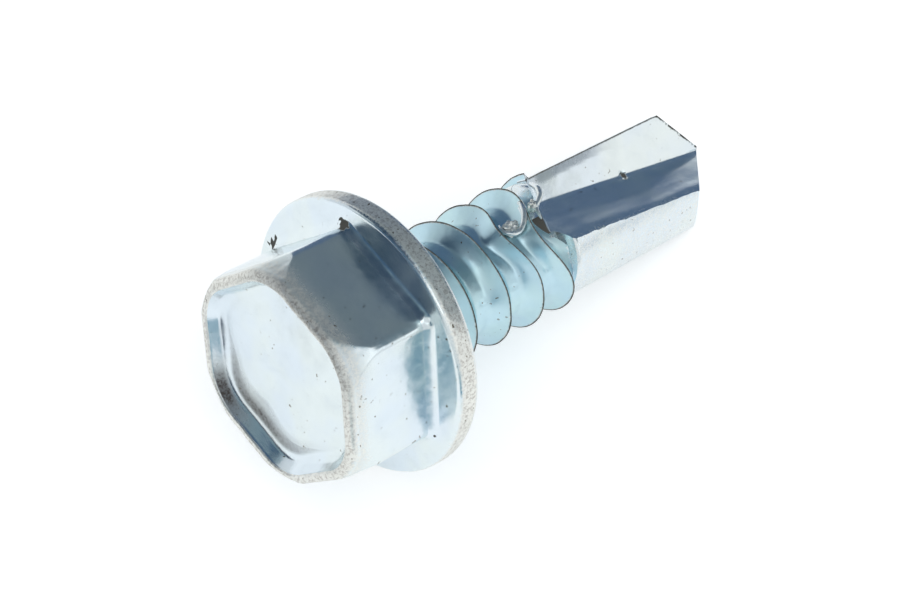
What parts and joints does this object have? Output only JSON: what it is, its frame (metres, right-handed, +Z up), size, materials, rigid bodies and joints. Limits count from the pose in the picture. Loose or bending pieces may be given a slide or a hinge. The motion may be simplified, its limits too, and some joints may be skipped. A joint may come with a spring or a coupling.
{
  "type": "self-drilling screw",
  "caption": "Zinc-plated self-drilling screw with an indented hex washer head, coarse thread and a fluted drill point, for fixing sheet metal.",
  "frame": {"origin": "on the floor, under the centre of the outline of the screw as it lies at rest", "axes": "+Z up, +X along the lying screw toward its point, +Y sideways"},
  "size_m": [0.0236, 0.0108, 0.0106],
  "materials": {
    "zinc_plated_steel": "bright zinc plate with a faint blue tint, slightly satin"
  },
  "bodies": {
    "root": {"drilling_screw": "zinc_plated_steel"}
  },
  "joints": []
}
